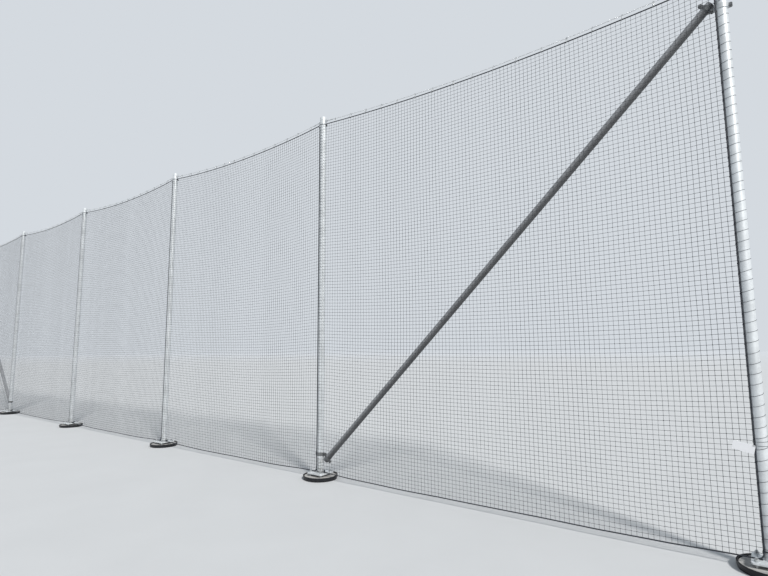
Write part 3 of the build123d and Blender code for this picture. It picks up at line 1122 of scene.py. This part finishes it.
def lacing(post, side, bay):
    """Cord wound round an end post and its side rope, broken where a collar is in the way."""
    draw = random.Random(sizes().seed * 100 + bay.number)
    pitch, close = sizes().lacing_pitch, sizes().lacing * 1.15
    lowest, highest = plate_rope + 0.055, bay.head_corner - 0.03
    stops = [lowest]
    for low, high in bands(post):
        stops += [low - 0.012, high + 0.012]
    stops.append(highest)
    lines = []
    for start, end in zip(stops[::2], stops[1::2]):
        below = [start, start + close, start + 2 * close] if start == lowest else []
        above = [end - 2 * close, end - close, end] if end == highest else []
        first = start + (3 * close if below else 0.0)
        last = end - (3 * close if above else 0.0)
        turns = max(1, round((last - first) / pitch))
        heights = list(below)
        for turn in range(turns + 1):
            nudge = draw.uniform(-0.09, 0.09) * pitch if 0 < turn < turns else 0.0
            heights.append(first + (last - first) * turn / turns + nudge)
        heights += above
        line = []
        for low, high in zip(heights, heights[1:]):
            ring = girth(post, low, [side_rope(post, low, side)])
            for step, corner in enumerate(ring):
                line.append(corner + Vector((0.0, 0.0, (high - low) * step / len(ring))))
        lines.append(line)
    return lines


def lashing(post, height, spare):
    """Two turns of thin cord that tie the ropes behind a middle post and the side rope to it."""
    cord = sizes().lacing
    reach = back_reach(height)
    ropes = [side_rope(post, height)]
    for turned in range(180, 0, -28):
        ropes.append((*on_circle(post, 0.0, reach, math.radians(turned)), rope_radius))
    meshes = []
    for way in (-1, 1):
        ring = girth(post, height + way * cord * 0.7, ropes, spare)
        line = [corner + Vector((0.0, 0.0, way * 0.003 * (corner.x - post) / post_radius)) for corner in ring]
        meshes.append(bar_mesh("lashing", [line], cord / 2, closed=True))
    knot = Vector((ropes[0][0] - 0.010, ropes[0][1] - 0.002, height))
    meshes.append(knot_mesh(knot, 0.006))
    return meshes


class NETTING_OT_lacing(bpy.types.Operator):
    """Thin cord that laces the side ropes to the end posts and ties the ropes to the middle ones"""

    bl_idname = "netting.lacing"
    bl_label = "Lacing"

    def execute(self, context):
        for number, post in enumerate(post_places):
            if number in (0, post_count - 1):
                bay, side = (bays[0], 1) if number == 0 else (bays[-1], -1)
                lines = lacing(post, side, bay)
                meshes = [rope_mesh("lacing", line, sizes().lacing / 2, sides=4) for line in lines]
                for line in lines:
                    x, y, radius = side_rope(post, line[0].z, side)
                    meshes.append(knot_mesh(Vector((x + side * 0.004, y - radius - 0.006, line[0].z)), 0.007))
            else:
                meshes = lashing(post, bays[number].head_corner, 0.0)
                meshes += lashing(post, plate_rope + 0.003, weld_bead + 0.0015)
            show(joined(f"lacing_{number + 1}", meshes), "lacing_cord")
        return {"FINISHED"}


class NETTING_OT_welds(bpy.types.Operator):
    """Weld beads round the posts' feet"""

    bl_idname = "netting.welds"
    bl_label = "Welds"

    def execute(self, context):
        solid = bmesh.new()
        place = Matrix.Translation((post_radius + 0.0012, 0.0, plate_top + 0.0012))
        turn = Matrix.Rotation(math.pi / 2, 4, "X")
        bmesh.ops.create_circle(solid, segments=8, radius=weld_bead * 0.8, matrix=place @ turn)
        bmesh.ops.spin(
            solid, geom=solid.verts[:] + solid.edges[:], cent=(0.0, 0.0, 0.0), axis=(0.0, 0.0, 1.0),
            angle=2 * math.pi, steps=84, use_merge=True,
        )
        for vert in solid.verts:
            angle = math.atan2(vert.co.y, vert.co.x)
            outward = Vector((vert.co.x, vert.co.y, 0.0))
            ripple = 0.0004 * math.sin(42 * angle) + 0.0007 * noise.noise(outward * 90)
            outward.normalize()
            vert.co += ripple * (outward + Vector((0.0, 0.0, 1.0)))
        bmesh.ops.recalc_face_normals(solid, faces=solid.faces)
        bead = mesh_from(solid, "weld")
        places = [Matrix.Translation((post, 0.0, 0.0)) for post in post_places]
        show(joined("weld_seams", [bead] * post_count, places), "weld_zinc")
        return {"FINISHED"}


class NETTING_OT_blank_plate(bpy.types.Operator):
    """White plate with nothing on it, tied to the net beside the right end post"""

    bl_idname = "netting.blank_plate"
    bl_label = "Blank plate"

    def execute(self, context):
        post = post_places[-1]
        solid = bmesh.new()
        bmesh.ops.create_cube(solid, size=1.0)
        bmesh.ops.scale(solid, vec=blank_size, verts=solid.verts)
        through = [edge for edge in solid.edges if abs(edge.verts[0].co.y - edge.verts[1].co.y) > 0.001]
        bevel(solid, through, blank_corner, 4)
        rims = [edge for edge in solid.edges if edge.calc_face_angle(0.0) > 1.0]
        bevel(solid, rims, blank_edge, 1)
        middle = Matrix.Translation((post - blank_reach, blank_depth, blank_height))
        tilt = middle @ Matrix.Rotation(blank_tilt, 4, "Y")
        bmesh.ops.transform(solid, matrix=tilt, verts=solid.verts)
        plate = bpy.data.objects.new("blank_plate", mesh_from(solid, "blank_plate"))
        show(plate, "blank_plate")
        plate.data.set_sharp_from_angle(angle=math.radians(35))

        meshes = []
        for low, rise in ((0.963, 0.008), (0.934, 0.003)):
            ring = girth(post, low, [side_rope(post, low), (post - 0.050, blank_depth, 0.0016)])
            line = [corner + Vector((0.0, 0.0, rise * (0.5 + (corner.x - post) / 0.1))) for corner in ring]
            meshes.append(bar_mesh("tie", [line], 0.0013, closed=True))
        show(joined("plate_ties", meshes), "lacing_cord")
        return {"FINISHED"}


class NETTING_PT_panel(bpy.types.Panel):
    """Lists the netting's pieces in the sidebar"""

    bl_label = "Netting"
    bl_idname = "NETTING_PT_panel"
    bl_space_type = "VIEW_3D"
    bl_region_type = "UI"
    bl_category = "Netting"

    def draw(self, context):
        column = self.layout.column()
        for operator in operators:
            column.operator(operator.bl_idname)
        for group in (context.scene.netting_sizes, context.scene.netting_colours):
            for name in group.bl_rna.properties.keys():
                if name not in ("rna_type", "name"):
                    column.prop(group, name)


operators = (
    NETTING_OT_stage,
    NETTING_OT_steelwork,
    NETTING_OT_footings,
    NETTING_OT_fasteners,
    NETTING_OT_borders,
    NETTING_OT_nets,
    NETTING_OT_wires,
    NETTING_OT_clips,
    NETTING_OT_lacing,
    NETTING_OT_welds,
    NETTING_OT_blank_plate,
)
classes = (NettingSizes, NettingColours, *operators, NETTING_PT_panel)


def register():
    for item in classes:
        bpy.utils.register_class(item)
    bpy.types.Scene.netting_sizes = PointerProperty(type=NettingSizes)
    bpy.types.Scene.netting_colours = PointerProperty(type=NettingColours)


def unregister():
    del bpy.types.Scene.netting_colours
    del bpy.types.Scene.netting_sizes
    for item in reversed(classes):
        bpy.utils.unregister_class(item)


def main():
    register()
    bpy.ops.netting.stage()
    bpy.ops.netting.steelwork()
    bpy.ops.netting.footings()
    bpy.ops.netting.fasteners()
    bpy.ops.netting.borders()
    bpy.ops.netting.nets()
    bpy.ops.netting.wires()
    bpy.ops.netting.clips()
    bpy.ops.netting.lacing()
    bpy.ops.netting.welds()
    bpy.ops.netting.blank_plate()


if __name__ == "__main__":
    main()
